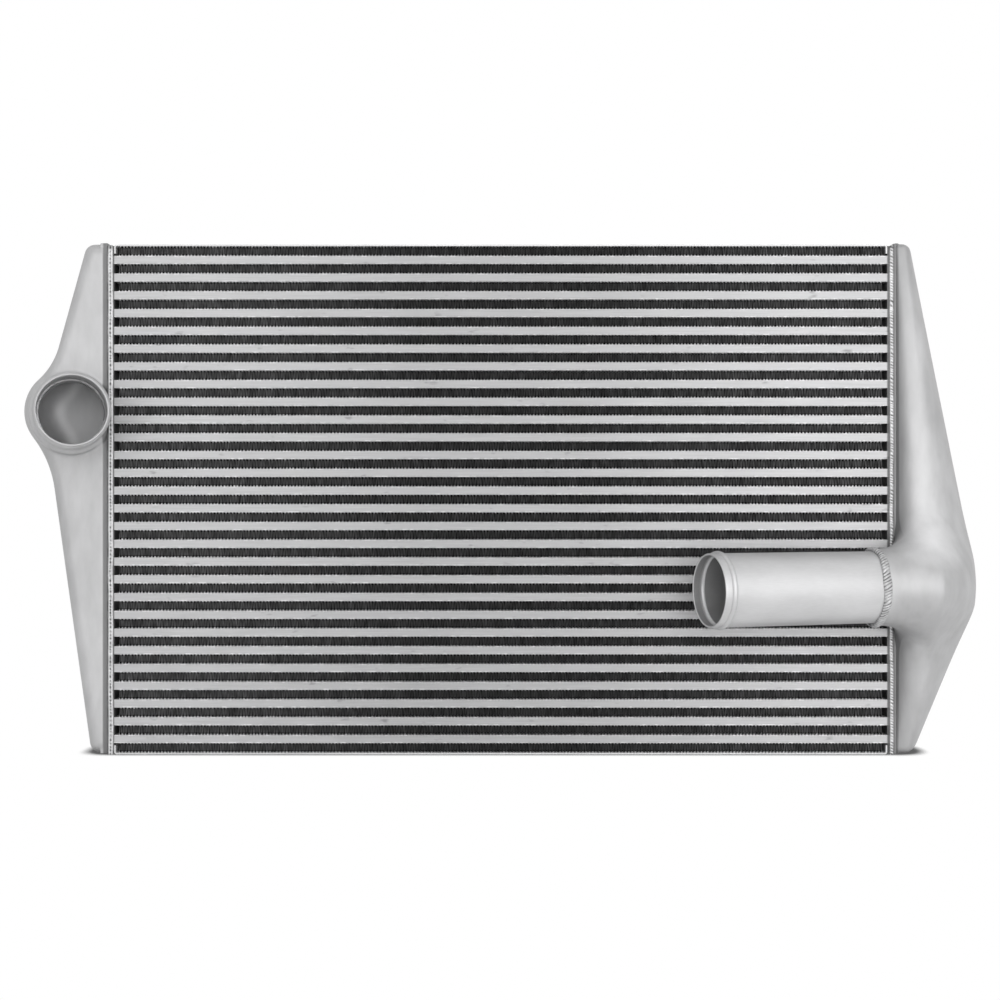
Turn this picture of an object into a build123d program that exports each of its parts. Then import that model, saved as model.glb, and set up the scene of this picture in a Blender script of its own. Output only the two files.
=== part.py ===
from build123d import *
import math
import os

# Bar-and-plate charge-air cooler, standing on its long underside.
# Millimetres. +X runs along the core to the outlet tank, +Z is up, and the face
# with the hose necks looks along -Y. The origin is the middle of the core's underside.

# Core
channel_count = 28
channel_height = 8.0
air_row_height = 9.75
core_width = 787.0
core_depth = 60.0
parting_sheet = 0.6
channel_bar_depth = 6.5
end_bar_width = 7.0
side_sheet = 1.5
side_sheet_lip = 7.5
side_sheet_bend = 2.5

# Folded sheets that carry the heat
fin_sheet = 0.35
fin_fold_pitch = 56.0
fin_end_gap = 4.6
fin_set_back = 1.0
turbulator_sheet = 0.35
turbulator_fold_pitch = 15.5
turbulator_end_gap = 6.0

# Cast end tanks
tank_wall = 4.0
tank_top_rise = 2.0
flange_thickness = 4.0
flange_corner = 3.0
body_set_in = 1.0
core_face_gap = 2.4

# Left tank, seen from the front: two straight flanks and a round lobe at the neck
inlet_height = 340.5
lobe_above_inlet = 3.0
left_top_reach = 26.0
left_bottom_reach = 21.5
left_flank_reach = 71.0
lobe_radius = 44.5
lobe_blend_above = 70.0
lobe_blend_below = 110.0
left_end_corner = 11.0
left_edge_round = 13.0

# Inlet neck, cast with the left tank
neck_outer_radius = 34.925
hose_wall = 2.0
neck_tilt = 16.0
neck_rim_forward = 70.0
neck_rim_from_core_end = 16.0
neck_collar_radius = 41.0
neck_collar_blend = 9.0
neck_collar_forward = 9.0
neck_collar_lean = 0.25

# Right tank: a tapered trunk whose ridge rises forward to an elbow
outlet_height = 169.5
right_top_reach = 20.5
right_bottom_reach = 22.0
right_peak_reach = 86.0
right_taper_round_above = 0.05
right_taper_round_below = 0.09
ridge_rise = 20.0
elbow_bulge = 44.0
elbow_bulge_spread = 42.0
ridge_from_core_end = 3.0
right_top_corner = 12.0
right_bottom_corner = 20.0
corner_overlap = 0.05
section_spacing = 24.0

# Level section of the right tank, as shares of its reach, front and back
crest_share = 0.4
heel_share = 0.4
waist_share = 0.15
foot_pull = 0.25
crest_pull = 0.4
flank_pull = 0.4
shoulder_share = 0.6
back_pull = 0.7
heel_pull = 0.6

# Elbow and outlet tube
elbow_outer_radius = 37.5
elbow_wall = 3.2
elbow_bend = 42.0
elbow_from_core_end = 36.5
spigot_yaw = 8.0
tube_yaw = 19.3
tube_length = 178.5
weld_from_core_end = 30.5
weld_axis_forward = 42.0

# Rolled bead that keeps the hose on
bead_from_rim = 9.5
bead_width = 5.5
bead_height = 2.2
rim_round = 0.9

# Welds
header_weld_width = 7.6
header_weld_height = 1.4
header_weld_lap = 1.0
outlet_weld_width = 8.0
outlet_weld_height = 2.2
outlet_weld_root = 0.3

# Worked out from the values above
pitch = channel_height + air_row_height
air_row_count = channel_count + 1
core_height = 2 * side_sheet + channel_count * channel_height + air_row_count * air_row_height
core_end = core_width / 2
core_front = -core_depth / 2
tank_height = core_height + tank_top_rise
body_depth = core_depth - 2 * body_set_in
hose_inner_radius = neck_outer_radius - hose_wall
elbow_inner_radius = elbow_outer_radius - elbow_wall
lobe_height = inlet_height + lobe_above_inlet
bead_back = -bead_from_rim - bead_width / 2
bead_front = -bead_from_rim + bead_width / 2


def write(name, shape):
    """Save one sub-part as parts/NAME.step."""
    export_step(shape, f"parts/{name}.step")


def block(x_low, x_high, y_low, y_high, z_low, z_high):
    """A plain block between two corners."""
    size = (x_high - x_low, y_high - y_low, z_high - z_low)
    return Pos(x_low, y_low, z_low) * Box(*size, align=(Align.MIN, Align.MIN, Align.MIN))


def air_row_bottom(row):
    """Height of the underside of an air row, counted from the bottom."""
    return side_sheet + row * pitch


def channel_bottom(index):
    """Height of the underside of a charge channel, counted from the bottom."""
    return side_sheet + air_row_height + index * pitch


def charge_channel(index):
    """Flat tube brazed from a front bar, a back bar and two parting sheets."""
    low = channel_bottom(index)
    tube = block(-core_end, core_end, core_front, -core_front, low, low + channel_height)
    passage_side = core_front + channel_bar_depth
    passage = block(-core_end, core_end, passage_side, -passage_side,
                    low + parting_sheet, low + channel_height - parting_sheet)
    return tube - passage


def folded_profile(length, height, fold_pitch, sheet):
    """Section of a sheet folded up and down: a zigzag of even thickness."""
    folds = max(2, 2 * round(length / fold_pitch))
    run = length / folds
    slant = math.hypot(run, height) / run
    drop = sheet * slant
    lower = []
    upper = []
    for corner in range(folds + 1):
        along = corner * run - length / 2
        crest = corner % 2 == 1
        lower.append((along, height - drop if crest else 0))
        upper.append((along, height if crest else drop))
    return make_face(Polyline(*lower, *reversed(upper), close=True))


def air_fins():
    """One folded sheet in each air row; air goes through from front to back."""
    length = core_width - 2 * (end_bar_width + fin_end_gap)
    profile = folded_profile(length, air_row_height, fin_fold_pitch, fin_sheet)
    depth = core_depth - 2 * fin_set_back
    sheet = extrude(Plane.XZ * profile, amount=depth / 2, both=True)
    return Compound(children=[Pos(0, 0, air_row_bottom(row)) * sheet for row in range(air_row_count)])


def turbulators():
    """One folded sheet in each charge channel; the charge air runs along its folds."""
    width = core_depth - 2 * channel_bar_depth
    height = channel_height - 2 * parting_sheet
    profile = folded_profile(width, height, turbulator_fold_pitch, turbulator_sheet)
    length = core_width - 2 * turbulator_end_gap
    sheet = extrude(Plane.YZ * profile, amount=length / 2, both=True)
    return Compound(children=[Pos(0, 0, channel_bottom(index) + parting_sheet) * sheet
                              for index in range(channel_count)])


def header_bars(side):
    """Short bars that close the ends of the air rows on one side of the core."""
    inner = side * (core_end - end_bar_width)
    outer = side * core_end
    bars = []
    for row in range(air_row_count):
        low = air_row_bottom(row)
        bars.append(block(min(inner, outer), max(inner, outer), core_front, -core_front,
                          low, low + air_row_height))
    return Compound(children=bars)


def side_sheet_profile():
    """Side view of the bottom sheet: flat, with both ends turned up beside the fins."""
    half = core_end - end_bar_width
    inside = half - side_sheet
    outer = FilletPolyline((-half, side_sheet + side_sheet_lip), (-half, 0), (half, 0),
                           (half, side_sheet + side_sheet_lip), radius=side_sheet_bend)
    inner = FilletPolyline((inside, side_sheet + side_sheet_lip), (inside, side_sheet),
                           (-inside, side_sheet), (-inside, side_sheet + side_sheet_lip),
                           radius=side_sheet_bend - side_sheet)
    return make_face([*outer.edges(), Line(outer @ 1, inner @ 0), *inner.edges(), Line(inner @ 1, outer @ 0)])


def bottom_side_sheet():
    """Sheet under the lowest fins."""
    return extrude(Plane.XZ * side_sheet_profile(), amount=core_depth / 2, both=True)


def top_side_sheet():
    """The same sheet turned over, on the topmost fins."""
    return Pos(0, 0, core_height) * Rot(180, 0, 0) * bottom_side_sheet()


def tank_flange(side):
    """Flat foot of a tank, which meets the core's end face."""
    plate = Box(flange_thickness, core_depth, tank_height)
    plate = fillet(plate.edges().filter_by(Axis.X), flange_corner)
    return Pos(side * (core_end + flange_thickness / 2), 0, tank_height / 2) * plate


def core_keep_out(side):
    """Space over the core's end that a tank's overhang stays clear of."""
    reach = 3 * neck_outer_radius
    inner = side * (core_end - reach)
    outer = side * core_end
    return block(min(inner, outer), max(inner, outer), core_front - core_face_gap, core_depth,
                 -tank_height, 2 * tank_height)


def left_corners(outline):
    """Corners of a left tank's outline that don't lie at the core."""
    return outline.vertices().filter_by(lambda point: point.X < -core_end - flange_thickness / 2)


def left_tank_outline(inset):
    """Front outline of the left tank, or of its cavity when moved in by the wall."""
    base = -core_end
    overshoot = flange_thickness if inset else 0
    middle = base - (left_flank_reach - inset)
    trunk = make_face(Polyline(
        (base + overshoot, inset),
        (base - left_bottom_reach + inset, inset),
        (middle, lobe_height),
        (base - left_top_reach + inset, tank_height - inset),
        (base + overshoot, tank_height - inset),
        close=True))
    lobe = Pos(base - lobe_radius, lobe_height) * Circle(lobe_radius - inset)
    outline = trunk + lobe
    by_height = left_corners(outline).sort_by(Axis.Y)
    outline = fillet([by_height[0], by_height[-1]], left_end_corner - inset)
    by_height = left_corners(outline).filter_by(
        lambda point: abs(point.Y - lobe_height) < lobe_radius).sort_by(Axis.Y)
    outline = fillet(by_height[-1], lobe_blend_above + inset)
    by_height = left_corners(outline).filter_by(
        lambda point: 0 < lobe_height - point.Y < lobe_radius).sort_by(Axis.Y)
    return fillet(by_height[0], lobe_blend_below + inset)


def left_tank_body(inset):
    """Trunk of the left tank with rounded front and back edges."""
    depth = body_depth - 2 * inset
    body = extrude(Plane.XZ * left_tank_outline(inset), amount=depth / 2, both=True)
    base = body.faces().sort_by(Axis.X)[-1]
    rims = body.faces().sort_by(Axis.Y)[0].edges() + body.faces().sort_by(Axis.Y)[-1].edges()
    return fillet([edge for edge in rims if edge.center().X < base.center().X - corner_overlap],
                  left_edge_round - inset)


def neck_plane():
    """Plane of the inlet's rim, its normal pointing out of the mouth."""
    tilt = math.radians(neck_tilt)
    centre = (-core_end - neck_rim_from_core_end, core_front - neck_rim_forward, inlet_height)
    return Plane(origin=centre, x_dir=(0, 0, 1), z_dir=(math.sin(tilt), -math.cos(tilt), 0))


def beaded_outer(length):
    """Outer half section of a hose end: rim at zero, bead, then a plain seat."""
    radius = neck_outer_radius
    return [
        Line((radius, -length), (radius, bead_back)),
        ThreePointArc((radius, bead_back), (radius + bead_height, -bead_from_rim), (radius, bead_front)),
        Line((radius, bead_front), (radius, -rim_round)),
        TangentArc((radius, -rim_round), (radius - rim_round, 0), tangent=(0, 1)),
    ]


def inlet_neck():
    """Solid neck with its bead and the collar that flows into the lobe."""
    radius = neck_outer_radius
    collar_face = neck_rim_forward / math.cos(math.radians(neck_tilt)) - neck_collar_forward
    length = collar_face - neck_collar_blend
    depth = neck_rim_forward + core_depth / 2
    outer = beaded_outer(length)
    flare = Spline((neck_collar_radius, -collar_face), (radius, -length),
                   tangents=((-1, neck_collar_lean), (0, 1)))
    section = make_face([
        Line((0, 0), (0, -depth)),
        Line((0, -depth), (neck_collar_radius, -depth)),
        Line((neck_collar_radius, -depth), (neck_collar_radius, -collar_face)),
        flare,
        *outer,
        Line((radius - rim_round, 0), (0, 0)),
    ])
    return neck_plane() * revolve(Plane.XZ * section, axis=Axis.Z)


def neck_bore():
    """Bore of the inlet, from the rim into the tank."""
    depth = neck_rim_forward + core_depth / 2
    bore = Cylinder(hose_inner_radius, depth, align=(Align.CENTER, Align.CENTER, Align.MAX))
    return neck_plane() * bore


def left_tank():
    """Hollow casting with the inlet neck."""
    outside = left_tank_body(0) + tank_flange(-1) + inlet_neck()
    cavity = left_tank_body(tank_wall)
    return outside - cavity - neck_bore() - core_keep_out(-1)


def taper(height):
    """Share of the way from an end of the right tank to its peak, rounded at the peak."""
    above = height > outlet_height
    span = tank_height - outlet_height if above else outlet_height
    rounding = right_taper_round_above if above else right_taper_round_below
    away = abs(height - outlet_height) / span
    return 1 - (math.hypot(away, rounding) - rounding) / (math.hypot(1, rounding) - rounding)


def right_reach(height):
    """How far the right tank reaches out from the core at a height."""
    end_reach = right_top_reach if height > outlet_height else right_bottom_reach
    return end_reach + (right_peak_reach - end_reach) * taper(height)


def right_tank_section(height, inset):
    """Level section of the right tank, or of its cavity when moved in by the wall."""
    bulge = elbow_bulge * math.exp(-((height - outlet_height) / elbow_bulge_spread) ** 2)
    back = body_depth / 2 - inset
    foot = -back
    front = foot - ridge_rise * taper(height) - bulge
    base = core_end + (-flange_thickness if inset else flange_thickness / 2)
    lip = core_end + ridge_from_core_end + inset
    outer = core_end + right_reach(height) - inset
    crest = lip + crest_share * (outer - lip)
    heel = lip + heel_share * (outer - lip)
    waist = waist_share * front
    edges = [
        Line((base, back), (base, foot)),
        Line((base, foot), (lip, foot)),
        Bezier((lip, foot), (lip + foot_pull * (crest - lip), front),
               (crest - crest_pull * (crest - lip), front), (crest, front)),
        Bezier((crest, front), (crest + flank_pull * (outer - crest), front),
               (outer, shoulder_share * front), (outer, waist)),
        Bezier((outer, waist), (outer, back_pull * back), (heel + heel_pull * (outer - heel), back),
               (heel, back)),
        Line((heel, back), (base, back)),
    ]
    return Pos(0, 0, height) * make_face(edges)


def end_offcut(height, radius, inset):
    """What rounding takes off one outer end of the right tank, seen from the front."""
    outward = -1 if height < outlet_height else 1
    end = height + outward * corner_overlap
    further = height - outward * 4 * radius
    corner = (core_end + right_reach(height) - inset + corner_overlap, end)
    below = (core_end + right_reach(further) - inset + corner_overlap, further)
    square = make_face(Polyline((core_end, end), corner, below, (core_end, further), close=True))
    tip = square.vertices().sort_by_distance(corner)[0]
    return extrude(Plane.XZ * (square - fillet(tip, radius)), amount=2 * core_depth, both=True)


def right_tank_trunk(inset):
    """Loft through evenly spaced level sections, one of them at the outlet."""
    bottom = inset
    top = tank_height - inset
    below = round((outlet_height - bottom) / section_spacing)
    above = round((top - outlet_height) / section_spacing)
    heights = [bottom + (outlet_height - bottom) * step / below for step in range(below)]
    heights += [outlet_height + (top - outlet_height) * step / above for step in range(above + 1)]
    trunk = loft([right_tank_section(height, inset) for height in heights])
    trunk -= end_offcut(bottom, right_bottom_corner - inset, inset)
    return trunk - end_offcut(top, right_top_corner - inset, inset)


def weld_plane():
    """Plane where the elbow's spigot meets the outlet tube, its normal along the gas."""
    yaw = math.radians(spigot_yaw)
    centre = (core_end - weld_from_core_end, core_front - weld_axis_forward, outlet_height)
    return Plane(origin=centre, x_dir=(0, 0, 1), z_dir=(-math.cos(yaw), -math.sin(yaw), 0))


def tube_plane():
    """Plane of the outlet's rim, its normal pointing out of the mouth."""
    yaw = math.radians(tube_yaw)
    way = Vector(-math.cos(yaw), -math.sin(yaw), 0)
    centre = weld_plane().origin + way * tube_length
    return Plane(origin=centre, x_dir=(0, 0, 1), z_dir=way)


def elbow(radius, start_y):
    """Round bend from the trunk to the weld, as a solid of the given radius."""
    weld = weld_plane()
    entry_x = core_end + elbow_from_core_end
    corner_y = weld.origin.Y + (entry_x - weld.origin.X) * math.tan(math.radians(spigot_yaw))
    path = FilletPolyline((entry_x, start_y, outlet_height), (entry_x, corner_y, outlet_height),
                          weld.origin, radius=elbow_bend)
    start = Plane(origin=path @ 0, z_dir=path % 0)
    return sweep(start * Circle(radius), path=path)


def right_tank():
    """Hollow casting whose ridge runs into the elbow."""
    outside = right_tank_trunk(0) + tank_flange(1) + elbow(elbow_outer_radius, core_front / 3)
    cavity = right_tank_trunk(tank_wall)
    bore = elbow(elbow_inner_radius, 0)
    return outside - cavity - bore - core_keep_out(1)


def outlet_tube():
    """Drawn tube, cut at the spigot's angle and rolled to a bead at its mouth."""
    length = tube_length + neck_outer_radius
    radius = hose_inner_radius
    inner = [
        Line((radius + rim_round, 0), (radius, -rim_round)),
        Line((radius, -rim_round), (radius, bead_front)),
        ThreePointArc((radius, bead_front), (radius + bead_height, -bead_from_rim), (radius, bead_back)),
        Line((radius, bead_back), (radius, -length)),
    ]
    section = make_face([
        *beaded_outer(length),
        Line((neck_outer_radius - rim_round, 0), (radius + rim_round, 0)),
        *inner,
        Line((radius, -length), (neck_outer_radius, -length)),
    ])
    tube = tube_plane() * revolve(Plane.XZ * section, axis=Axis.Z)
    side = 4 * neck_outer_radius
    behind_weld = Box(side, side, side, align=(Align.CENTER, Align.CENTER, Align.MAX))
    return tube - weld_plane() * behind_weld


def header_weld(side, tank):
    """Bead down the front and back of the joint and across its top."""
    outer = side * (core_end + header_weld_lap)
    inner = outer - side * header_weld_width
    face = core_depth / 2
    bead = make_face([
        Line((inner, -face), (outer, -face)),
        ThreePointArc((outer, -face), ((inner + outer) / 2, -face - header_weld_height), (inner, -face)),
    ])
    bar_top = core_height - side_sheet
    leg = extrude(bead, amount=bar_top + header_weld_height)
    back_leg = mirror(leg, about=Plane.XZ)
    corner = (side * core_end, bar_top)
    toe = (inner, bar_top)
    crown = (side * core_end, tank_height - header_weld_height / 2)
    bulge = ((toe[0] + crown[0]) / 2, (toe[1] + crown[1]) / 2 + header_weld_height / 2)
    cap = make_face([Line(toe, corner), Line(corner, crown), ThreePointArc(crown, bulge, toe)])
    top_leg = extrude(Plane.XZ * cap, amount=face + header_weld_height / 2, both=True)
    return leg + back_leg + top_leg - tank


def outlet_weld(tank, tube):
    """Fillet bead round the joint of spigot and tube."""
    half = outlet_weld_width / 2
    low = neck_outer_radius - outlet_weld_root
    bead = make_face([
        Line((low, -half), (low, half)),
        ThreePointArc((low, half), (elbow_outer_radius + outlet_weld_height / 2, 0), (low, -half)),
    ])
    ring = weld_plane() * revolve(Plane.XZ * bead, axis=Axis.Z)
    return ring - tank - tube


os.makedirs("parts", exist_ok=True)

for index in range(channel_count):
    write(f"charge_channel_{index + 1:02d}", charge_channel(index))
write("air_fins", air_fins())
write("turbulators", turbulators())
write("left_header_bars", header_bars(-1))
write("right_header_bars", header_bars(1))
write("bottom_side_sheet", bottom_side_sheet())
write("top_side_sheet", top_side_sheet())
left = left_tank()
right = right_tank()
tube = outlet_tube()
write("left_tank", left)
write("right_tank", right)
write("outlet_tube", tube)
write("left_header_weld", header_weld(-1, left))
write("right_header_weld", header_weld(1, right))
write("outlet_weld", outlet_weld(right, tube))
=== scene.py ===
"""Bar-and-plate charge-air cooler with cast end tanks, in metres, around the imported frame."""
import math

import bpy
import numpy as np
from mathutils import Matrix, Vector


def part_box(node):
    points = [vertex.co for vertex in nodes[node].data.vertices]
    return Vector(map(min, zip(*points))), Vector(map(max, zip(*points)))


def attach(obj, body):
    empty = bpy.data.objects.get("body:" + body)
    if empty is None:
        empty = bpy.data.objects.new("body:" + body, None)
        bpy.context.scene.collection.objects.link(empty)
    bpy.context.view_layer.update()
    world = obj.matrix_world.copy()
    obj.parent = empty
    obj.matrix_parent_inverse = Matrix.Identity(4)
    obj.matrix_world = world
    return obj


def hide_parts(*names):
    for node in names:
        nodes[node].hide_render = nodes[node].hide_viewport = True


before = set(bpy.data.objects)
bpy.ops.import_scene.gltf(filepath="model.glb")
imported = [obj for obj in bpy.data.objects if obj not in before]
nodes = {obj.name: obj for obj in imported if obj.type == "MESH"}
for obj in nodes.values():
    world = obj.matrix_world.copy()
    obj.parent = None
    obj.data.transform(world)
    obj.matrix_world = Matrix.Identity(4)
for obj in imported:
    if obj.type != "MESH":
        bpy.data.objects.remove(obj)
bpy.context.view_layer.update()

# The camera stands dead ahead of the core, 1.55 m from its front face, so that one
# picture unit is one millimetre of that face in the photograph's 1000 by 1000 frame.
mm = 0.001
core_low, core_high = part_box("charge_channel_01")
core_front = core_low.y
core_end = core_high.x
core_depth = core_high.y - core_low.y
camera_distance = 1550 * mm
sensor = 36.0
picture = 1000
camera_data = bpy.data.cameras.new("camera")
camera_data.sensor_width = sensor
camera_data.lens = sensor * camera_distance / (picture * mm)
camera_data.clip_end = 20
camera = bpy.data.objects.new("camera", camera_data)
camera.location = (-0.7 * mm, core_front - camera_distance, 254.3 * mm)
camera.rotation_euler = (math.radians(90), 0, 0)
bpy.context.scene.collection.objects.link(camera)
bpy.context.scene.camera = camera


# Charge channels: each is a front bar, a back bar and two thin parting sheets of clad
# aluminium, brazed in a furnace into one flat tube. The faces are sawn and brushed along
# their length, and beads of braze stand along the sheets' edges.
channel_names = sorted(name for name in nodes if name.startswith("charge_channel"))
channel_height = core_high.z - core_low.z
row_height = 9.75 * mm
row_pitch = channel_height + row_height


def add_piece(name, points, faces, material, replaced=(), smooth_below=35):
    """A mesh piece from points and faces, smooth where neighbours meet under an angle."""
    mesh = bpy.data.meshes.new(name)
    mesh.from_pydata(points.tolist() if hasattr(points, "tolist") else points, [], faces)
    mesh.validate()
    mesh.update()
    piece = bpy.data.objects.new(name, mesh)
    bpy.context.scene.collection.objects.link(piece)
    if smooth_below:
        mesh.polygons.foreach_set("use_smooth", np.ones(len(mesh.polygons), bool))
        mesh.set_sharp_from_angle(angle=math.radians(smooth_below))
    mesh.materials.append(material)
    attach(piece, "root")
    if replaced:
        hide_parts(*replaced)
    return piece


def mark(piece, name, values):
    """Gives each point of a piece a number that its material reads under this name."""
    layer = piece.data.attributes.new(name, "FLOAT", "POINT")
    layer.data.foreach_set("value", np.ascontiguousarray(values, np.float32).ravel())


def repaint(node_name, material):
    """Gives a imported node, whose shape stays, a new material."""
    nodes[node_name].data.materials.clear()
    nodes[node_name].data.materials.append(material)


def shader(name, base, metallic, roughness):
    """A new material with its principled shader, and the tree to build on."""
    material = bpy.data.materials.new(name)
    material.use_nodes = True
    tree = material.node_tree
    surface = tree.nodes["Principled BSDF"]
    surface.inputs["Base Color"].default_value = (*base, 1)
    surface.inputs["Metallic"].default_value = metallic
    surface.inputs["Roughness"].default_value = roughness
    return material, tree, surface


def noise(tree, scale, stretch=(1, 1, 1), detail=3.0, rough=0.5):
    """Noise over the object's own coordinates, drawn out by the given stretch."""
    where = tree.nodes.new("ShaderNodeTexCoord")
    mapping = tree.nodes.new("ShaderNodeMapping")
    mapping.inputs["Scale"].default_value = stretch
    pattern = tree.nodes.new("ShaderNodeTexNoise")
    pattern.inputs["Scale"].default_value = scale
    pattern.inputs["Detail"].default_value = detail
    pattern.inputs["Roughness"].default_value = rough
    tree.links.new(where.outputs["Object"], mapping.inputs["Vector"])
    tree.links.new(mapping.outputs["Vector"], pattern.inputs["Vector"])
    return pattern.outputs["Fac"]


def ramp(tree, value, low, high, dark, light):
    """Grey or colour that runs from dark at low to light at high."""
    step = tree.nodes.new("ShaderNodeMapRange")
    step.inputs["From Min"].default_value = low
    step.inputs["From Max"].default_value = high
    step.inputs["To Min"].default_value = dark
    step.inputs["To Max"].default_value = light
    tree.links.new(value, step.inputs["Value"])
    return step.outputs["Result"]


def arithmetic(tree, operation, first, second):
    """One sum on two values, each a socket or a number."""
    node = tree.nodes.new("ShaderNodeMath")
    node.operation = operation
    for socket, value in zip(node.inputs, (first, second)):
        if hasattr(value, "links"):
            tree.links.new(value, socket)
        else:
            socket.default_value = value
    return node.outputs[0]


def times(tree, first, second):
    return arithmetic(tree, "MULTIPLY", first, second)


def plus(tree, first, second):
    return arithmetic(tree, "ADD", first, second)


def grey(tree, value, tint=(1.0, 1.0, 1.01)):
    """A near-neutral colour of the given brightness."""
    node = tree.nodes.new("ShaderNodeCombineColor")
    for socket, share in zip(node.inputs, tint):
        tree.links.new(times(tree, value, share), socket)
    return node.outputs[0]


def bump(tree, surface, height, strength, distance):
    """Relief from a height pattern, in metres."""
    node = tree.nodes.new("ShaderNodeBump")
    node.inputs["Strength"].default_value = strength
    node.inputs["Distance"].default_value = distance
    tree.links.new(height, node.inputs["Height"])
    tree.links.new(node.outputs["Normal"], surface.inputs["Normal"])


def place(tree, axis, fold=None):
    """The object's own X, Y or Z, as it is or without its sign."""
    where = tree.nodes.new("ShaderNodeTexCoord")
    split = tree.nodes.new("ShaderNodeSeparateXYZ")
    tree.links.new(where.outputs["Object"], split.inputs["Vector"])
    value = split.outputs[axis]
    return arithmetic(tree, "ABSOLUTE", value, 0.0) if fold else value


def above(tree, start):
    """Height over the foot of a bar or of an air row, where the lowest stands at start."""
    return arithmetic(tree, "MODULO", arithmetic(tree, "SUBTRACT", place(tree, "Z"), start), row_pitch)


def marked(tree, name):
    """The number that mark() gave each point under this name, or nought."""
    node = tree.nodes.new("ShaderNodeAttribute")
    node.attribute_name = name
    return node.outputs["Fac"]


def bar_material():
    """Brushed bar faces: long fine streaks, rubbed blotches, a few dark scuffs, bright
    blobs of braze along both sheet edges, painted shade that darkens the middle of the core,
    and a dark line beside the end welds, partly sooty heat tint and partly painted shadow of the bead."""
    material, tree, surface = shader("brazed_bar", (0.5, 0.5, 0.5), 0.4, 0.5)
    streaks = noise(tree, 900, (0.02, 1, 1), 4)
    blotches = noise(tree, 45, (0.5, 1, 1.5), 4)
    scuffs = noise(tree, 160, (0.35, 1, 1), 2)
    blobs = noise(tree, 420, (0.45, 1, 1), 2)
    value = plus(tree, ramp(tree, streaks, 0.3, 0.7, 0.45, 0.52),
                 ramp(tree, blotches, 0.35, 0.65, -0.035, 0.035))
    value = arithmetic(tree, "SUBTRACT", value, ramp(tree, scuffs, 0.68, 0.8, 0.0, 0.2))
    half = channel_height / 2
    off_middle = arithmetic(tree, "SUBTRACT", above(tree, core_low.z), half)
    off_middle = arithmetic(tree, "ABSOLUTE", off_middle, 0.0)
    braze = times(tree, ramp(tree, off_middle, half - 1.3 * mm, half - 0.5 * mm, 0, 1),
                  ramp(tree, blobs, 0.52, 0.62, 0, 1))
    value = plus(tree, value, times(tree, braze, 0.22))
    from_middle = place(tree, "X", True)
    # Painted shade: the bars grow darker towards the middle of the core.
    value = times(tree, value, ramp(tree, from_middle, 0.08, 0.3, 0.74, 0.96))
    # A dark line on the bars beside the end welds, partly sooty heat tint and partly painted shadow of the
    # bead.
    soot_and_shade = ramp(tree, from_middle, core_end - 7.6 * mm, core_end - 6.4 * mm, 1.0, 0.25)
    tree.links.new(grey(tree, times(tree, value, soot_and_shade)), surface.inputs["Base Color"])
    tree.links.new(ramp(tree, blotches, 0.3, 0.7, 0.42, 0.6), surface.inputs["Roughness"])
    bump(tree, surface, plus(tree, streaks, times(tree, braze, 2.0)), 0.3, 0.0003)
    return material


brazed_bar = bar_material()
for name in channel_names:
    repaint(name, brazed_bar)


# Air fins: one thin sheet in each air row, folded up and down about every 3.3 mm and
# brazed to the parting sheets at each crest. Louvres are turned out of its upright walls
# at the core's faces, and the folds wander along the depth, so nothing shows through.
fin_low, fin_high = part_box("air_fins")
row_count = len(channel_names) + 1
fold_pitch = 3.28 * mm
crest_base = 0.66 * mm
crest_top = 0.36 * mm
lower_fillet = 1.3 * mm
upper_fillet = 1.1 * mm
fold_wander = 2.0 * mm
first_row = 1.5 * mm
rows_in_a_piece = 8


def fin_material():
    """Dull, flux-stained sheet: bright fillets of braze on the crests' cut edges, and painted
    shade elsewhere: grey on the louvres just behind the face, black deeper in the folds and near the parting
    sheets, darker towards the middle of the core."""
    material, tree, surface = shader("fin_sheet", (0.05, 0.05, 0.05), 0.0, 0.6)
    height = above(tree, first_row)
    head = row_height - upper_fillet
    lower = ramp(tree, height, lower_fillet + 0.3 * mm, lower_fillet - 0.4 * mm, 0.02, 0.45)
    upper = ramp(tree, height, head - 0.3 * mm, head + 0.3 * mm, 0.0, 0.34)
    out, face = place(tree, "Y", True), fin_high.y
    crest = times(tree, ramp(tree, out, face - 0.4 * mm, face - 0.1 * mm, 0, 1), plus(tree, lower, upper))
    # Painted shade: the sheet darkens from grey just behind the face to black deeper in.
    shallow = ramp(tree, out, face - 3.4 * mm, face - 0.7 * mm, 0.005, 0.085)
    # Painted shade: darker near the parting sheets at the top and bottom of each row.
    corner = times(tree, ramp(tree, height, 1.6 * mm, 2.3 * mm, 0.08, 1.0),
                   ramp(tree, height, row_height - 2.0 * mm, row_height - 1.3 * mm, 1.0, 0.08))
    value = plus(tree, crest, times(tree, shallow, corner))
    # Random flux stains, times painted shade that darkens the fins towards the middle of the core.
    stain_and_shade = times(tree, ramp(tree, noise(tree, 260, (1, 1, 0.4), 3), 0.3, 0.7, 0.6, 1.5),
                  ramp(tree, place(tree, "X", True), 0.08, 0.3, 0.5, 1.0))
    tree.links.new(grey(tree, times(tree, value, stain_and_shade)), surface.inputs["Base Color"])
    # The same painted shade also turns the gloss down in those corners and deeper in.
    sheen = times(tree, corner, ramp(tree, out, face - 7 * mm, face - 1 * mm, 0.0, 0.12))
    tree.links.new(sheen, surface.inputs["Specular IOR Level"])
    return material


fin_sheet = fin_material()


def slab_faces(rows, columns):
    """Faces of a closed slab between two grids of points, the first grid's before the
    second's: both skins and the four rims."""
    r, c = np.meshgrid(np.arange(rows - 1), np.arange(columns - 1), indexing="ij")
    corner, second = r * columns + c, rows * columns
    skin = np.stack([corner, corner + columns, corner + columns + 1, corner + 1], -1).reshape(-1, 4)
    c = np.arange(columns - 1)
    front = np.stack([c, c + 1, c + 1 + second, c + second], -1)
    r = np.arange(rows - 1) * columns
    left = np.stack([r + columns, r, r + second, r + columns + second], -1)
    return np.concatenate([skin, skin[:, ::-1] + second, front, front[:, ::-1] + (rows - 1) * columns,
                           left, left[:, ::-1] + columns - 1])


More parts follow.
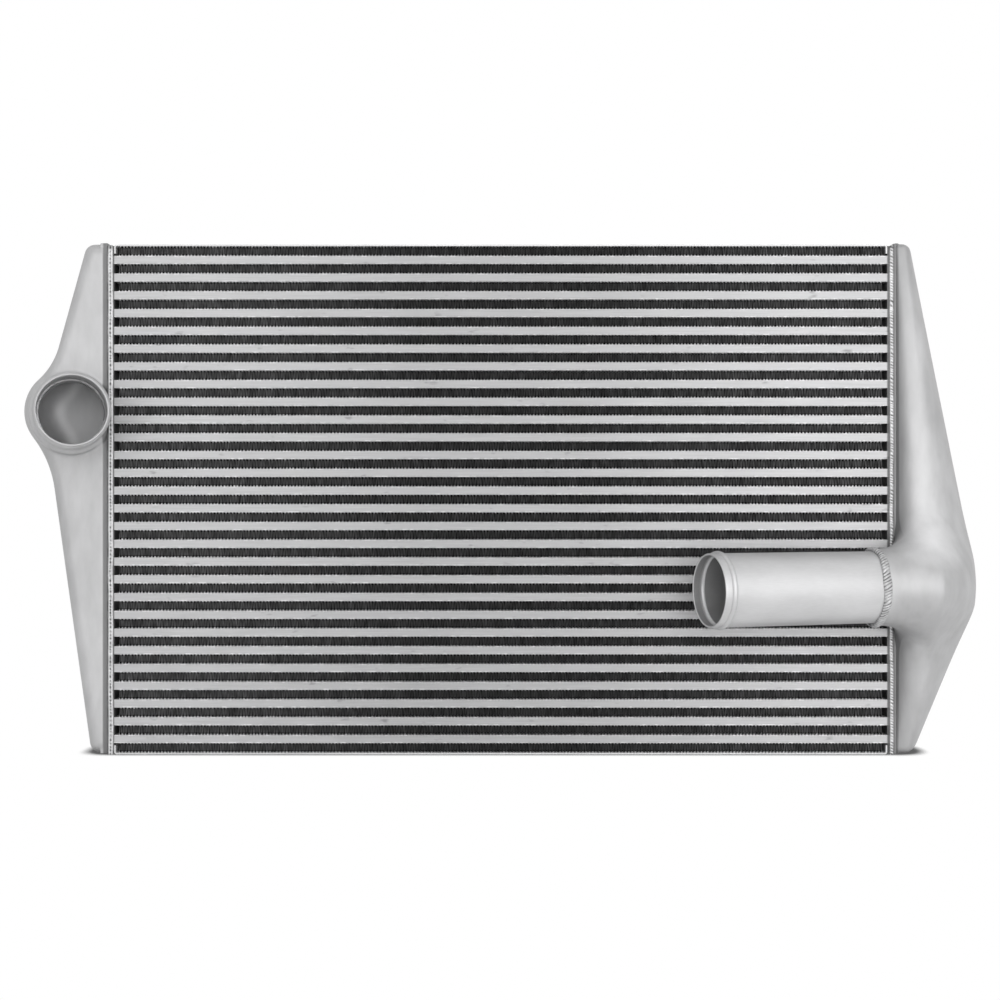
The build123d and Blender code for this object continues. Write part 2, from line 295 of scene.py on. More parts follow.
def folded_sheet(crest, base, top, low):
    """One row's sheet, both skins. Across the row each skin is a zigzag through pairs of
    points, crest - w and crest + w, where w is the base width on the side that is brazed
    and the top width, one fillet nearer the middle, on the other side."""
    high = np.arange(crest.size) % 2 > 0
    depths = np.array([fin_low.y, fin_low.y + 0.45 * core_depth, fin_high.y])
    wander = np.array([0, fold_wander, 0])
    skins = []
    for brazed in (~high, high):
        width = np.where(brazed, base, top)
        lift = np.where(brazed, 0, np.where(high, upper_fillet, lower_fillet))
        z = low + np.where(high, row_height - lift, lift)
        x = np.stack([crest - width, crest + width], 1).ravel()
        skin = np.empty((depths.size, x.size, 3))
        skin[..., 0] = np.clip(x + wander[:, None], fin_low.x, fin_high.x)
        skin[..., 1] = depths[:, None]
        skin[..., 2] = np.repeat(z, 2)
        skins.append(skin)
    return np.concatenate(skins).reshape(-1, 3), slab_faces(*skins[0].shape[:2])


def louvres(crest, base, top, low, face, rng):
    """A row of three-sided slats, one across each gap between two walls, from about a fifth
    to four fifths of the row's height. Each slopes back from one wall to the next."""
    half = (base + top) / 2
    run = np.diff(crest) - half[:-1] - half[1:]
    rising = np.arange(run.size) % 2 == 0
    count = run.size - 1
    near, far = rng.uniform(0.6, 1.5, count), rng.uniform(1.9, 3.0, count)
    depth = np.stack([near, far, np.full(count, 3.4)], 1) * mm
    ends = []
    for share in (0.22, 0.8):
        wall = crest[:-1] + half[:-1] + run * np.where(rising, share, 1 - share)
        x = np.stack([wall[:-1], wall[1:], (wall[:-1] + wall[1:]) / 2], 1)
        z = np.full(x.shape, low + share * row_height)
        ends.append(np.stack([x, face * (fin_high.y - depth), z], -1))
    points = np.stack(ends, 1).reshape(-1, 6, 3)
    first = 6 * np.arange(len(points))[:, None]
    sides = np.concatenate([first + [0, 1, 4, 3], first + [1, 2, 5, 4], first + [2, 0, 3, 5]])
    caps = np.concatenate([first + [3, 4, 5], first + [0, 2, 1]])
    turn = 1 if face < 0 else -1
    return points.reshape(-1, 3), sides[:, ::turn], caps[:, ::turn]


def fin_piece(name, rows):
    """The sheets and louvres of some rows, each row with its own small unevenness."""
    points, faces, start = [], [], 0
    folds = int((fin_high.x - fin_low.x) / fold_pitch)
    for row in rows:
        rng = np.random.default_rng(100 + row)
        crest = np.linspace(fin_low.x, fin_high.x, 2 * folds + 1) + rng.normal(0, 0.12 * mm, 2 * folds + 1)
        base = crest_base * (1 + rng.normal(0, 0.12, crest.size))
        top = crest_top * (1 + rng.normal(0, 0.12, crest.size))
        low = first_row + row * row_pitch
        sheet, quads = folded_sheet(crest, base, top, low)
        points.append(sheet)
        faces += (quads + start).tolist()
        start += len(sheet)
        for face in (-1, 1):
            slats, sides, caps = louvres(crest, base, top, low, face, rng)
            points.append(slats)
            faces += (sides + start).tolist() + (caps + start).tolist()
            start += len(slats)
    add_piece(name, np.concatenate(points), faces, fin_sheet, ["air_fins"], 0)


for part, first in enumerate(range(0, row_count, rows_in_a_piece)):
    fin_piece(f"fin_rows_{part + 1}", range(first, min(first + rows_in_a_piece, row_count)))

repaint("turbulators", fin_sheet)


# End bars close the ends of the air rows, and the thin side sheets cover the outermost
# fins, their ends turned in. All are mill-finish aluminium, dulled by the braze furnace.
# The end bars, down in their recess, are coloured near black as painted shade.
def mill_material(name, dark, light, streak):
    """Rolled sheet or bar: faint streaks along the rolling, cloudy with flux."""
    material, tree, surface = shader(name, (0.5, 0.5, 0.5), 0.35, 0.5)
    lines = noise(tree, 700, streak, 3)
    cloud = noise(tree, 30, (1, 1, 1), 4)
    value = plus(tree, ramp(tree, lines, 0.3, 0.7, dark, light), ramp(tree, cloud, 0.3, 0.7, -0.04, 0.04))
    tree.links.new(grey(tree, value), surface.inputs["Base Color"])
    tree.links.new(ramp(tree, cloud, 0.3, 0.7, 0.4, 0.6), surface.inputs["Roughness"])
    bump(tree, surface, lines, 0.2, 0.0002)
    return material


# Painted shade: the recessed end bars are coloured near black.
end_bar_shade = mill_material("end_bar", 0.06, 0.1, (1, 1, 0.05))
side_sheet_finish = mill_material("side_sheet", 0.55, 0.66, (0.03, 1, 1))
for side in ("left", "right"):
    repaint(side + "_header_bars", end_bar_shade)
for side in ("top", "bottom"):
    repaint(side + "_side_sheet", side_sheet_finish)


# Right tank: a hollow sand casting, welded to the core round its foot. Its trunk tapers
# both ways from the outlet, its front ridge rises towards the outlet and runs into an
# elbow. Its hidden wall is thicker here than in the casting, to span three mesh cells.
def cast_material():
    """Satin cast skin: fine blasted grain and a soft cloudy tone. Painted shade greys
    it beside the core, further out on the ridge's inner wall. Painted light brightens the cavity wall
    seen through the inlet, and a painted highlight the elbow's upper shoulder."""
    material, tree, surface = shader("cast_skin", (0.52, 0.52, 0.52), 0.38, 0.52)
    cloud = noise(tree, 14, (1, 1, 1), 4)
    patches = noise(tree, 70, (1, 1, 0.35), 4)
    grain = noise(tree, 1500, (1, 1, 1), 2)
    value = plus(tree, ramp(tree, cloud, 0.3, 0.7, 0.46, 0.54), ramp(tree, patches, 0.3, 0.7, -0.045, 0.045))
    along, out = place(tree, "X"), place(tree, "X", True)
    # Painted shade: a band beside the weld on both tanks and a wider fade up the right tank's ridge wall,
    # near the front face only.
    shade_by_weld = ramp(tree, out, core_end + 4 * mm, core_end + 5.5 * mm, 0.6, 0)
    shade_on_wall = times(tree, ramp(tree, along, core_end + 6 * mm, core_end + 26 * mm, 0.32, 0),
                    ramp(tree, along, 0, 0.1, 0, 1))
    face = core_depth / 2
    ahead = ramp(tree, place(tree, "Y", True), face + 6 * mm, face + 24 * mm, 1, 0)
    painted_shade = times(tree, arithmetic(tree, "MAXIMUM", shade_by_weld, shade_on_wall), ahead)
    # Painted highlight: a bright spot on the elbow's upper shoulder.
    where = tree.nodes.new("ShaderNodeTexCoord")
    shoulder = tree.nodes.new("ShaderNodeVectorMath")
    shoulder.operation = "DISTANCE"
    shoulder.inputs[1].default_value = (core_end + 23 * mm, core_front - 40 * mm, 212 * mm)
    tree.links.new(where.outputs["Object"], shoulder.inputs[0])
    value = plus(tree, value, ramp(tree, shoulder.outputs["Value"], 8 * mm, 40 * mm, 0.3, 0))
    value = times(tree, value, arithmetic(tree, "SUBTRACT", 1.0, painted_shade))
    # Painted light: the cavity wall seen through the inlet is brightened, most on the neck's axis.
    value = plus(tree, value, times(tree, marked(tree, "inside"), 0.3))
    tree.links.new(grey(tree, value), surface.inputs["Base Color"])
    tree.links.new(ramp(tree, patches, 0.3, 0.7, 0.48, 0.58), surface.inputs["Roughness"])
    bump(tree, surface, plus(tree, times(tree, grain, 0.3), cloud), 0.25, 0.0006)
    return material


cast_skin = cast_material()


def smooth_union(first, second, blend):
    """Two signed distances joined with a fillet about as wide as blend."""
    share = np.clip(0.5 + 0.5 * (second - first) / blend, 0, 1)
    return second * (1 - share) + first * share - blend * share * (1 - share)


def rounded_edge(rounding, *sides):
    """Signed distance to what lies inside all the sides, their common edges rounded."""
    away = np.stack(sides) + rounding
    return np.minimum(away.max(0), 0) + np.linalg.norm(away.clip(0), axis=0) - rounding


def outline_distance(x, y, corners):
    """Signed distance to a closed outline, negative inside. Each corner may be a number
    pair or a pair of arrays as long as the points."""
    nearest = np.full(np.shape(x), np.inf)
    inside = np.zeros(np.shape(x), bool)
    for (ax, ay), (bx, by) in zip(corners, corners[1:] + corners[:1]):
        ex, ey = bx - ax, by - ay
        px, py = x - ax, y - ay
        length = ex * ex + ey * ey + 1e-18
        share = np.clip((px * ex + py * ey) / length, 0, 1)
        nearest = np.minimum(nearest, (px - ex * share) ** 2 + (py - ey * share) ** 2)
        crosses = (ay > y) != (by > y)
        reach = ax + (y - ay) * ex / np.where(np.abs(ey) < 1e-12, 1e-12, ey)
        inside ^= crosses & (x < reach)
    return np.where(inside, -1, 1) * np.sqrt(nearest)


def surface_net(field, low, high, cell):
    """Mesh of where a signed distance is nought. Each cell that the surface crosses gets
    one point, at the mean of the crossings on its edges, then moved down the slope onto
    the surface; each crossed edge joins its four cells in one face."""
    counts = [int(np.ceil((h - l) / cell)) + 1 for l, h in zip(low, high)]
    axes = [l + cell * np.arange(n) for l, n in zip(low, counts)]
    values = np.empty(counts)
    for k in range(0, counts[2], 32):
        gx, gy, gz = np.meshgrid(axes[0], axes[1], axes[2][k:k + 32], indexing="ij")
        values[:, :, k:k + 32] = field(gx.ravel(), gy.ravel(), gz.ravel()).reshape(gx.shape)
    inside = values < 0
    total = np.zeros([n - 1 for n in counts] + [3])
    hits = np.zeros([n - 1 for n in counts])
    for axis in range(3):
        one, two = [k for k in range(3) if k != axis]
        first = [slice(None)] * 3
        second = [slice(None)] * 3
        first[axis], second[axis] = slice(0, -1), slice(1, None)
        va, vb = values[tuple(first)], values[tuple(second)]
        crossed = (va < 0) != (vb < 0)
        share = np.where(crossed, va / np.where(crossed, va - vb, 1), 0)
        for p in (0, 1):
            for q in (0, 1):
                window = [slice(None)] * 3
                window[one] = slice(p, counts[one] - 1 + p)
                window[two] = slice(q, counts[two] - 1 + q)
                c = crossed[tuple(window)]
                hits += c
                total[..., axis] += np.where(c, share[tuple(window)], 0)
                total[..., one] += c * p
                total[..., two] += c * q
    used = hits > 0
    index = np.full(hits.shape, -1)
    index[used] = np.arange(used.sum())
    points = np.array(low) + cell * (np.argwhere(used) + total[used] / hits[used][:, None])
    faces = []
    for axis in range(3):
        one, two = [(1, 2), (2, 0), (0, 1)][axis]
        first = [slice(1, -1)] * 3
        second = [slice(1, -1)] * 3
        first[axis], second[axis] = slice(0, -1), slice(1, None)
        ia, ib = inside[tuple(first)], inside[tuple(second)]
        for wanted, turn in ((ia & ~ib, 1), (~ia & ib, -1)):
            at = np.argwhere(wanted)
            for other in (one, two):
                at[:, other] += 1
            around = []
            for p, q in ((0, 0), (1, 0), (1, 1), (0, 1)):
                cell_at = at.copy()
                cell_at[:, one] += p - 1
                cell_at[:, two] += q - 1
                around.append(index[tuple(cell_at.T)])
            faces.append(np.stack(around, 1)[:, ::turn])
    faces = np.concatenate(faces)
    step = cell * 0.05
    for _ in range(4):
        here = field(*points.T)
        slope = np.stack([(field(*(points + step * np.eye(3)[k]).T) - here) / step for k in range(3)], 1)
        size = (slope ** 2).sum(1).clip(0.05)
        move = -(here / size)[:, None] * slope
        longest = np.linalg.norm(move, axis=1).clip(1e-12)
        points = points + move * np.minimum(1, 0.5 * cell / longest)[:, None]
    return points, faces.tolist()


tank_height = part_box("right_tank")[1].z
tank_wall = 4 * mm
hidden_wall = 7 * mm
flange_thickness = 4 * mm
body_half = core_depth / 2 - 1 * mm
outlet_height = 169.5 * mm
right_top_reach = 20.5 * mm
right_bottom_reach = 24.5 * mm
right_peak_reach = 82.3 * mm
ridge_rise = 20 * mm
elbow_bulge = 44 * mm
elbow_bulge_spread = 42 * mm
ridge_from_core_end = 3 * mm
right_top_corner = 12 * mm
right_bottom_corner = 20 * mm
elbow_outer_radius = 37.5 * mm
elbow_inner_radius = 32.4 * mm
hose_outer_radius = 34.925 * mm
hose_inner_radius = 32.925 * mm
elbow_bend = 42 * mm
elbow_entry_x = core_end + 36.5 * mm
elbow_root = 8 * mm
spigot_yaw = math.radians(8)
weld_centre = np.array([core_end - 30.5 * mm, core_front - 42 * mm, outlet_height])
weld_way = np.array([-math.cos(spigot_yaw), -math.sin(spigot_yaw), 0])
core_face_gap = 2.4 * mm


def taper(height):
    """Share of the way from an end of the tank to its peak, level over the dome beside the
    outlet and rounded where the slope begins."""
    above = height > outlet_height
    span = np.where(above, tank_height - outlet_height, outlet_height)
    dome = np.where(above, 0.055, 0.1)
    rounding = np.where(above, 0.05, 0.1)
    away = np.maximum(0, np.abs(height - outlet_height) / span - dome) / (1 - dome)
    return 1 - (np.hypot(away, rounding) - rounding) / (np.hypot(1, rounding) - rounding)


def bezier(controls, steps):
    """Points along a cubic through its four controls, leaving out the last."""
    points = []
    for share in np.linspace(0, 1, steps, endpoint=False):
        weights = ((1 - share) ** 3, 3 * share * (1 - share) ** 2, 3 * share ** 2 * (1 - share), share ** 3)
        points.append(tuple(sum(w * c[k] for w, c in zip(weights, controls)) for k in (0, 1)))
    return points


def right_reach(height):
    """How far the tank reaches out from the core's end at a height."""
    end_reach = np.where(height > outlet_height, right_top_reach, right_bottom_reach)
    return end_reach + (right_peak_reach - end_reach) * taper(height)


def rounded_corner(before, corner, after, radius, steps=14):
    """Points of the arc that rounds a corner between two straight runs."""
    before, corner, after = (np.array(v, float) for v in (before, corner, after))
    one = (before - corner) / np.linalg.norm(before - corner)
    two = (after - corner) / np.linalg.norm(after - corner)
    half = math.acos(float(np.clip(one @ two, -1, 1))) / 2
    reach = radius / math.tan(half)
    middle = corner + (one + two) / np.linalg.norm(one + two) * radius / math.sin(half)
    start, stop = corner + one * reach - middle, corner + two * reach - middle
    turn = math.atan2(start[0] * stop[1] - start[1] * stop[0], float(start @ stop))
    angle = np.linspace(0, turn, steps)
    x = middle[0] + start[0] * np.cos(angle) - start[1] * np.sin(angle)
    y = middle[1] + start[0] * np.sin(angle) + start[1] * np.cos(angle)
    return list(zip(x, y))


def right_outline():
    """Closed front outline: well past the core's end, two rounded end corners, and the
    reach at each height between them."""
    past = core_end - 60 * mm
    heights = np.linspace(24 * mm, tank_height - 16 * mm, 90)
    side = [(core_end + float(right_reach(h)), float(h)) for h in heights]
    low = (core_end + float(right_reach(0.0)), 0.0)
    high = (core_end + float(right_reach(tank_height)), tank_height)
    return ([(past, tank_height), (past, 0.0)]
            + rounded_corner((past, 0.0), low, side[0], right_bottom_corner) + side
            + rounded_corner(side[-1], high, (past, tank_height), right_top_corner))


right_outside = right_outline()


def trunk_distance(x, y, z, inset):
    """Level distance to the trunk's section at each height: flat back, foot at the core,
    and cubics over the ridge and round the outer side."""
    height = np.clip(z, 0, tank_height)
    share = taper(height)
    bulge = elbow_bulge * np.exp(-((z - outlet_height) / elbow_bulge_spread) ** 2)
    back = body_half - inset
    foot = -back
    front = foot - ridge_rise * share - bulge
    base = core_end + (-flange_thickness if inset else flange_thickness / 2)
    lip = core_end + ridge_from_core_end + inset
    outer = core_end + right_reach(height) - inset
    crest = lip + 0.4 * (outer - lip)
    heel = lip + 0.4 * (outer - lip)
    waist = 0.15 * front
    corners = [(base, back), (base, foot)]
    corners += bezier([(lip, foot), (lip + 0.25 * (crest - lip), front),
                       (crest - 0.4 * (crest - lip), front), (crest, front)], 10)
    corners += bezier([(crest, front), (crest + 0.4 * (outer - crest), front), (outer, 0.6 * front),
                       (outer, waist)], 12)
    corners += bezier([(outer, waist), (outer, 0.7 * back), (heel + 0.6 * (outer - heel), back),
                       (heel, back)], 10)
    corners += [(heel, back)]
    level = outline_distance(x, y, corners)
    ends = np.abs(z - tank_height / 2) - (tank_height / 2 - inset)
    return rounded_edge(4 * mm if inset else 6 * mm, level, ends)


def elbow_distance(x, y, z, radius):
    """Distance to a round bend: a line forward from the trunk, an arc, and a line to the weld."""
    corner_y = weld_centre[1] + (elbow_entry_x - weld_centre[0]) * math.tan(spigot_yaw)
    turn = math.radians(90) - spigot_yaw
    tangent = elbow_bend * math.tan(turn / 2)
    centre_x = elbow_entry_x - elbow_bend
    centre_y = corner_y + tangent
    px, py = x - centre_x, y - centre_y
    angle = np.clip(np.arctan2(-py, px), 0, turn)
    arc = np.hypot(px - elbow_bend * np.cos(angle), py + elbow_bend * np.sin(angle))
    behind = y - centre_y
    inlet = np.hypot(x - elbow_entry_x, np.minimum(behind, 0) + np.maximum(behind - elbow_root, 0))
    end_x = centre_x + elbow_bend * math.cos(turn)
    end_y = centre_y - elbow_bend * math.sin(turn)
    along = ((x - end_x) * weld_way[0] + (y - end_y) * weld_way[1]).clip(0, 120 * mm)
    outlet = np.hypot(x - end_x - along * weld_way[0], y - end_y - along * weld_way[1])
    path = np.minimum(np.minimum(arc, inlet), outlet)
    return np.hypot(path, z - outlet_height) - radius


def box_distance(x, y, z, low, high, rounding=0.0):
    """Signed distance to a block between two corners, its edges rounded."""
    return rounded_edge(rounding, *(np.abs(v - (l + h) / 2) - (h - l) / 2
                                    for v, l, h in zip((x, y, z), low, high)))


def right_tank_distance(x, y, z):
    """Trunk, elbow and foot joined with fillets, less the cavity, the bore, the space
    over the core and whatever lies past the weld. The elbow's fillet is broad at the
    front, narrow on the outer side and nearly nought at the flat back."""
    past_weld = (x - weld_centre[0]) * weld_way[0] + (y - weld_centre[1]) * weld_way[1]
    elbow = np.maximum(elbow_distance(x, y, z, elbow_outer_radius), past_weld)
    fillet = 42 * mm - 37 * mm * np.clip((x - elbow_entry_x + 8 * mm) / (36 * mm), 0, 1)
    fillet *= np.clip((10 * mm - y) / (25 * mm), 0.02, 1)
    outside = smooth_union(trunk_distance(x, y, z, 0), elbow, fillet)
    outside = smooth_union(outside, outline_distance(x, z, right_outside), -3 * mm)
    foot = box_distance(x, y, z, (core_end, -core_depth / 2 + 2.4 * mm, 0),
                        (core_end + 6 * mm, core_depth / 2 - 2.4 * mm, tank_height), 1 * mm)
    behind_face = core_end + 0.5 * mm - x - 4 * np.maximum(0, core_front - 2 * mm - y)
    outside = smooth_union(np.maximum(outside, behind_face), foot, 1 * mm)
    bore = np.maximum(elbow_distance(x, y, z, elbow_inner_radius), past_weld - 10 * mm)
    cavity = smooth_union(trunk_distance(x, y, z, hidden_wall), bore, 6 * mm)
    over_core = box_distance(x, y, z, (core_end - 0.2, core_front - core_face_gap, -1), (core_end, 1, 2))
    body = np.maximum(np.maximum(outside, -cavity), -over_core)
    body = np.maximum(body, past_weld)
    return np.maximum(body, np.maximum(-z, z - tank_height))


right_low = (weld_centre[0] - 8 * mm, weld_centre[1] - 50 * mm, -4 * mm)
right_high = (core_end + right_peak_reach + 5 * mm, core_depth / 2 + 5 * mm, tank_height + 4 * mm)
points, faces = surface_net(right_tank_distance, right_low, right_high, 2.0 * mm)
add_piece("right_tank_casting", points, faces, cast_skin, ["right_tank"], 38)


def wrapped_grid(rows, around):
    """Faces of rings of points, each joined to the next and the last to the first."""
    r, a = np.meshgrid(np.arange(rows), np.arange(around), indexing="ij")
    after, following = (a + 1) % around, (r + 1) % rows
    return np.stack([r * around + a, r * around + after, following * around + after,
                     following * around + a], -1).reshape(-1, 4)


def foot_rail(name, face):
    """Weld lip of the tank's foot: a bar section with a softened corner, carried up the joint."""
    deep, wide, soft = 3 * mm, 2.3 * mm, 0.35 * mm
    section = np.array([(0, 0), (wide, 0), (wide, deep - soft), (wide - soft, deep), (0, deep)])
    heights = np.linspace(0.5 * mm, tank_height - 1.5 * mm, 60)
    points = np.empty((len(heights), len(section), 3))
    points[..., 0] = core_end + section[:, 0]
    points[..., 1] = face * (core_depth / 2 - 3.6 * mm + section[:, 1])
    points[..., 2] = heights[:, None]
    around, last = len(section), len(section) * (len(heights) - 1)
    faces = wrapped_grid(len(heights), around)[:-around].tolist()
    faces += [list(range(around))[::-1], list(range(last, last + around))]
    faces = faces if face > 0 else [turned[::-1] for turned in faces]
    add_piece(name, points.reshape(-1, 3), faces, cast_skin, ["right_tank"], 30)


foot_rail("right_foot_front", -1)
foot_rail("right_foot_back", 1)


# Left tank: the same casting with straight flanks and a round lobe, from which the
# inlet neck stands forward, leaning towards the middle of the core. A collar rings the
# neck's root, and the tank's edge rolls down to a thin foot along the weld.
left_end = -core_end
inlet_height = 340.5 * mm
lobe_height = 343.5 * mm
lobe_radius = 43.3 * mm
left_bottom_reach = 19 * mm
left_top_reach = 23.2 * mm
left_flank_reach = 67 * mm
left_upper_flank_reach = 70 * mm
neck_tilt = math.radians(16)
neck_rim = np.array([left_end - 16 * mm, core_front - 70 * mm, inlet_height])
neck_way = np.array([math.sin(neck_tilt), -math.cos(neck_tilt), 0])
neck_across = np.array([math.cos(neck_tilt), math.sin(neck_tilt), 0])
collar_radius = 41 * mm
collar_place = -63.8 * mm
neck_joint = -50 * mm
cast_bore_radius = 31.3 * mm


def tangent_arcs(low, high, middle, upper, radius, blend_low, blend_high):
    """Left edge of the front view: a flank up to the lobe, a hollow arc onto the lobe,
    the lobe, and the same onto the upper flank. Each hollow arc touches its flank and
    the lobe, so its middle is one radius off the flank and radius + blend off the lobe's."""
    points = []
    lobe = np.array([left_end - radius, lobe_height])
    for start, stop, blend in ((low, middle, blend_low), (high, upper, blend_high)):
        start = np.array(start, float)
        way = (np.array(stop, float) - start) / np.linalg.norm(np.array(stop, float) - start)
        out = np.array([-abs(way[1]), way[0] * math.copysign(1, way[1])])
        across = (lobe - start) @ out - blend
        along = (lobe - start) @ way - math.sqrt((radius + blend) ** 2 - across ** 2)
        centre = start + way * along + out * blend
        touch = lobe + (centre - lobe) * radius / (radius + blend)
        flank = start + way * along
        a, b = (math.atan2(*(p - centre)[::-1]) for p in (flank, touch))
        b = a + (b - a + math.pi) % (2 * math.pi) - math.pi
        angle = np.linspace(a, b, 16)
        arc = np.stack([centre[0] + blend * np.cos(angle), centre[1] + blend * np.sin(angle)], 1)
        points.append(arc)
    a = math.atan2(*(points[0][-1] - lobe)[::-1]) % (2 * math.pi)
    b = math.atan2(*(points[1][-1] - lobe)[::-1]) % (2 * math.pi)
    angle = np.linspace(a, b, 28)[1:-1]
    round_side = np.stack([lobe[0] + radius * np.cos(angle), lobe[1] + radius * np.sin(angle)], 1)
    return [tuple(p) for p in np.concatenate([points[0], round_side, points[1][::-1]])]


def left_outline(inset):
    """Closed front outline: foot of the tank well past the core's end, the lower flank,
    the lobe, the upper flank and two rounded end corners."""
    past = left_end + 40 * mm
    low = (left_end - left_bottom_reach + inset, inset)
    high = (left_end - left_top_reach + inset, tank_height - inset)
    middle = (left_end - left_flank_reach + inset, lobe_height)
    upper = (left_end - left_upper_flank_reach + inset, lobe_height)
    corner = 11 * mm - inset
    outline = [(past, tank_height - inset), (past, inset)]
    outline += rounded_corner((past, inset), low, middle, corner)
    outline += tangent_arcs(low, high, middle, upper, lobe_radius - inset, 110 * mm + inset, 70 * mm + inset)
    outline += rounded_corner(upper, high, (past, tank_height - inset), corner)
    return outline


left_outside = left_outline(0)
left_inside = left_outline(tank_wall)


def left_trunk_distance(x, y, z, inset):
    """Front outline carried through the depth, with rounded front and back edges."""
    front = outline_distance(x, z, left_inside if inset else left_outside)
    return rounded_edge(24 * mm if inset else 13 * mm, front, np.abs(y) - (body_half - inset))


def along_neck(x, y, z):
    """Place along the neck's axis, nought at the rim and negative inwards, and distance from it."""
    dx, dy, dz = x - neck_rim[0], y - neck_rim[1], z - neck_rim[2]
    t = dx * neck_way[0] + dy * neck_way[1]
    return t, np.hypot(dx * neck_across[0] + dy * neck_across[1], dz)


def left_tank_distance(x, y, z):
    """Trunk and foot, a collar with a rolled lip, and the neck's root, joined with
    fillets, less the cavity, the bore and the space over the core."""
    t, r = along_neck(x, y, z)
    trunk = smooth_union(left_trunk_distance(x, y, z, 0), x - (left_end - 3.2 * mm), -2.5 * mm)
    foot = box_distance(x, y, z, (left_end - 8 * mm, -core_depth / 2 + 2.6 * mm, 0),
                        (left_end, core_depth / 2 - 2.6 * mm, tank_height), 1 * mm)
    collar = rounded_edge(2.2 * mm, r - collar_radius, t - collar_place)
    collar = np.maximum(collar, -t - 92 * mm)
    neck = np.maximum(r - hose_outer_radius, -t - 90 * mm)
    outside = smooth_union(trunk, collar, 3 * mm)
    outside = smooth_union(outside, neck, 7 * mm)
    outside = np.maximum(outside, outline_distance(x, z, left_outside))
    outside = smooth_union(outside, foot, 1.5 * mm)
    bore = np.maximum(r - cast_bore_radius, -t - 105 * mm)
    cavity = smooth_union(left_trunk_distance(x, y, z, tank_wall), bore, 8 * mm)
    over_core = box_distance(x, y, z, (left_end, core_front - core_face_gap, -1), (left_end + 0.2, 1, 2))
    body = np.maximum(np.maximum(outside, -cavity), -over_core)
    body = np.maximum(body, t - neck_joint)
    return np.maximum(body, np.maximum(-z, z - tank_height))


left_low = (left_end - 95 * mm, core_front - 45 * mm, -4 * mm)
left_high = (left_end + 26 * mm, core_depth / 2 + 5 * mm, tank_height + 4 * mm)
points, faces = surface_net(left_tank_distance, left_low, left_high, 1.6 * mm)
left_casting = add_piece("left_tank_casting", points, faces, cast_skin, ["left_tank"], 38)
# Painted light for the cavity wall seen through the inlet, brightest on the neck's axis.
t, r = along_neck(*points.T)
in_cavity = left_trunk_distance(*points.T, tank_wall) < 1 * mm
mark(left_casting, "inside", in_cavity * np.exp(-(r / (30 * mm)) ** 2))


# Hose ends: the inlet's machined rim and the outlet's drawn tube, each with a raised bead
# that keeps the hose on. The tube is spun smooth and polished by its die.
def drawn_material():
    """Drawn tube: very fine rings and soft long smears, brighter than the casting, with painted
    shade in the bore; the bead's groove is left out of it and shows bright."""
    material, tree, surface = shader("drawn_tube", (0.7, 0.7, 0.7), 0.4, 0.46)
    cloud = noise(tree, 18, (0.4, 1, 1), 4)
    fine = noise(tree, 900, (0.15, 0.15, 1), 3)
    value = plus(tree, ramp(tree, cloud, 0.3, 0.7, 0.53, 0.66), ramp(tree, fine, 0.3, 0.7, -0.015, 0.015))
    # Painted shade: the bore is darkened, all but the bead's groove.
    value = times(tree, value, ramp(tree, marked(tree, "inside"), 0, 1, 1.0, 0.5))
    tree.links.new(grey(tree, value), surface.inputs["Base Color"])
    tree.links.new(ramp(tree, cloud, 0.3, 0.7, 0.42, 0.52), surface.inputs["Roughness"])
    bump(tree, surface, fine, 0.12, 0.0002)
    return material


drawn_tube = drawn_material()
bead_from_rim = 9.5 * mm
bead_width = 5.5 * mm
bead_height = 2.2 * mm
rim_round = 0.9 * mm


def hose_end_profile(length, grooved):
    """Closed wall section as place along the axis and radius: out along the bore, round
    the rim, and back over the bead. A rolled bead has its groove inside."""
    wave = np.linspace(0, math.pi, 15)
    bead_t = -bead_from_rim - bead_width / 2 * np.cos(wave)
    bead_r = bead_height * np.sin(wave) ** 1.3
    rim = np.linspace(-math.pi / 2, math.pi / 2, 9)
    rim_t = -rim_round + rim_round * np.cos(rim)
    middle = (hose_inner_radius + hose_outer_radius) / 2
    half = (hose_outer_radius - hose_inner_radius) / 2
    rim_r = middle + half * np.sin(rim)
    inner = [(-length, hose_inner_radius)]
    if grooved:
        inner += list(zip(bead_t, hose_inner_radius + bead_r))
    outer = list(zip(bead_t[::-1], hose_outer_radius + bead_r[::-1])) + [(-length, hose_outer_radius)]
    return np.array(inner + list(zip(rim_t, rim_r)) + outer)


def spun(profile, origin, way, across, back_plane=None, turns=128):
    """A closed profile turned about an axis. Points furthest back may be carried along
    the axis to a slanted plane, given as a point and its normal."""
    up = np.cross(way, across)
    angle = np.linspace(0, 2 * math.pi, turns, endpoint=False)
    out = np.cos(angle)[:, None] * across + np.sin(angle)[:, None] * up
    t, r = profile.T[..., None, None]
    points = origin + t * way + r * out
    if back_plane is not None:
        centre, normal = back_plane
        rear = profile[:, 0] <= profile[:, 0].min() + 1e-9
        gap = ((points[rear] - centre) @ normal) / (way @ normal)
        points[rear] -= gap[..., None] * way
    return points.reshape(-1, 3), wrapped_grid(len(profile), turns)[:, ::-1].tolist()


points, faces = spun(hose_end_profile(-neck_joint, False), neck_rim, neck_way, neck_across)
add_piece("inlet_rim", points, faces, cast_skin, ["left_tank"], 50)

tube_yaw = math.radians(19.3)
tube_length = 178.5 * mm
tube_way = np.array([-math.cos(tube_yaw), -math.sin(tube_yaw), 0])
tube_across = np.array([math.sin(tube_yaw), -math.cos(tube_yaw), 0])
tube_rim = weld_centre + tube_way * tube_length
points, faces = spun(hose_end_profile(tube_length, True), tube_rim, tube_way, tube_across,
                     (weld_centre, weld_way))
tube = add_piece("outlet_hose_tube", points, faces, drawn_tube, ["outlet_tube"], 50)
